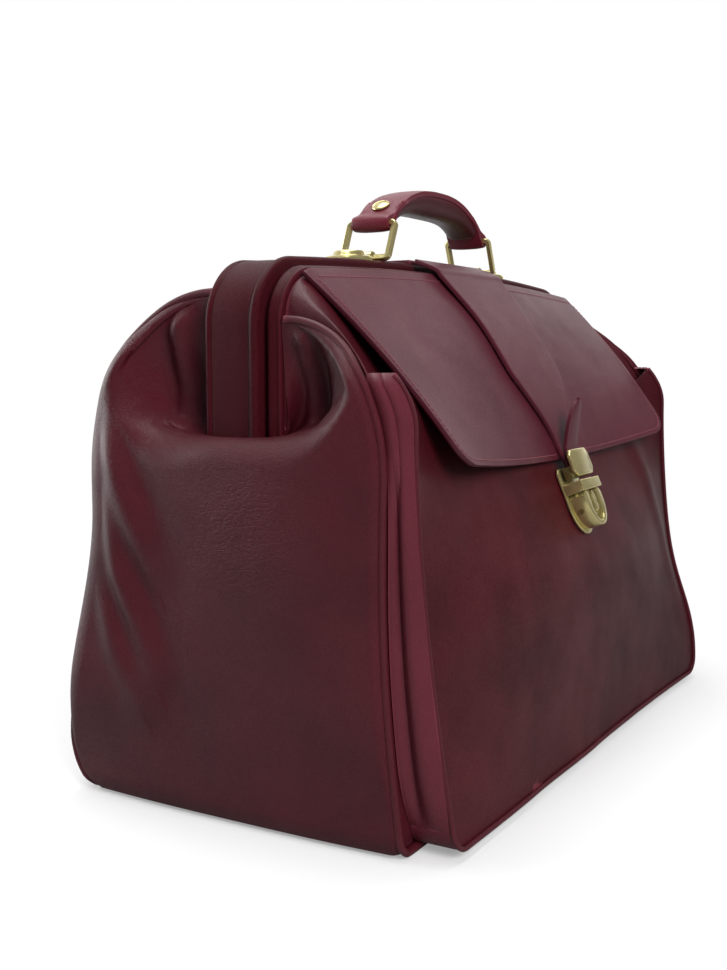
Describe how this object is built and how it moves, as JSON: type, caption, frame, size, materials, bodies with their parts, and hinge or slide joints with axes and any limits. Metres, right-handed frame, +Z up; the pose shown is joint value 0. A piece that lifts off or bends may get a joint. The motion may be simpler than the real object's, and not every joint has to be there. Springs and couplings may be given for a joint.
{
  "type": "framed leather travel bag",
  "caption": "Soft leather travel bag with a hinged jaw frame, a front pocket under a flap, a closing strap with a tuck lock, and a top handle on rings.",
  "frame": {"origin": "centre of the flat base panel, on the surface the bag stands on", "axes": "+X along the bag's length, +Y towards its back, away from the pocket and the lock, +Z up"},
  "size_m": [0.4924, 0.259, 0.3761],
  "materials": {
    "body_leather": "grained, semi-gloss",
    "dark_leather": "grained, semi-gloss",
    "strap_leather": "grained, semi-gloss",
    "lining_cloth": "matt",
    "board": "matt",
    "brass": "antique, satin",
    "steel": "satin"
  },
  "bodies": {
    "body": {"base_panel": "dark_leather", "base_board": "board", "lining": "lining_cloth", "front_wall": "body_leather", "back_wall": "body_leather", "end_left": "body_leather", "end_right": "body_leather", "front_piping": "dark_leather", "back_piping": "dark_leather", "pocket_front": "body_leather", "pocket_gusset": "body_leather", "pocket_piping": "dark_leather", "lock_plate": "brass", "lock_case": "brass", "lock_throat": "brass", "lock_backing": "steel", "lock_screws": "brass", "hinge_pin_left": "brass", "hinge_pin_right": "brass"},
    "front_frame": {"front_bar": "steel", "front_cover": "dark_leather", "front_shoulder": "body_leather", "front_fold_left": "dark_leather", "front_fold_right": "dark_leather", "front_top_piping": "dark_leather"},
    "back_frame": {"back_bar": "steel", "back_cover": "dark_leather", "back_shoulder": "body_leather", "back_fold_left": "dark_leather", "back_fold_right": "dark_leather", "back_top_piping": "dark_leather", "strap_anchor": "dark_leather", "handle_bases": "brass", "handle_lugs": "brass"},
    "flap": {"flap_leather": "body_leather", "flap_lining": "lining_cloth"},
    "strap": {"strap_leather": "strap_leather", "strap_tab": "strap_leather", "hasp_front": "brass", "hasp_back": "brass", "hasp_rivets": "brass"},
    "button": {"lock_button": "brass"},
    "ring_left": {"ring_left": "brass"},
    "ring_right": {"ring_right": "brass"},
    "handle": {"handle_grip": "dark_leather", "handle_pad": "dark_leather", "handle_rivets": "brass"}
  },
  "joints": [
    {"name": "front_open", "type": "hinge", "parent": "body", "child": "front_frame", "pos_m": [0, -0.016, 0.206], "axis": [1, 0, 0], "range_deg": [0, 30], "deforming": ["front_shoulder", "front_fold_left", "front_fold_right", "front_top_piping"]},
    {"name": "back_open", "type": "hinge", "parent": "body", "child": "back_frame", "pos_m": [0, -0.016, 0.206], "axis": [-1, 0, 0], "range_deg": [0, 15], "deforming": ["back_shoulder", "back_fold_left", "back_fold_right", "back_top_piping"]},
    {"name": "flap_lift", "type": "hinge", "parent": "front_frame", "child": "flap", "pos_m": [0, -0.02928, 0.31705], "axis": [-1, 0, 0], "range_deg": [0, 100]},
    {"name": "strap_lift", "type": "hinge", "parent": "back_frame", "child": "strap", "pos_m": [0, -0.0169, 0.32505], "axis": [-1, 0, 0], "range_deg": [0, 110]},
    {"name": "button_press", "type": "slide", "parent": "body", "child": "button", "axis": [0, -0.3857, -0.9226], "range_m": [0, 0.003], "stiffness_N_per_m": 600, "springref_m": -0.002},
    {"name": "ring_left_sway", "type": "hinge", "parent": "back_frame", "child": "ring_left", "pos_m": [-0.082, 0.002, 0.32559], "axis": [0, 1, 0], "range_deg": [-12, 12]},
    {"name": "ring_right_sway", "type": "hinge", "parent": "back_frame", "child": "ring_right", "pos_m": [0.082, 0.002, 0.32559], "axis": [0, 1, 0], "range_deg": [-12, 12]},
    {"name": "handle_tilt", "type": "hinge", "parent": "ring_left", "child": "handle", "pos_m": [-0.072, 0.002, 0.34859], "axis": [0, 1, 0], "range_deg": [-14, 14]}
  ],
  "couplings": [
    {"joint": "flap_lift", "follows": "strap_lift", "ratio": 0.9},
    {"joint": "front_open", "follows": "strap_lift", "ratio": 0.27},
    {"joint": "back_open", "follows": "strap_lift", "ratio": 0.13},
    {"joint": "ring_right_sway", "follows": "ring_left_sway", "ratio": 1},
    {"joint": "handle_tilt", "follows": "ring_left_sway", "ratio": -1.14}
  ]
}
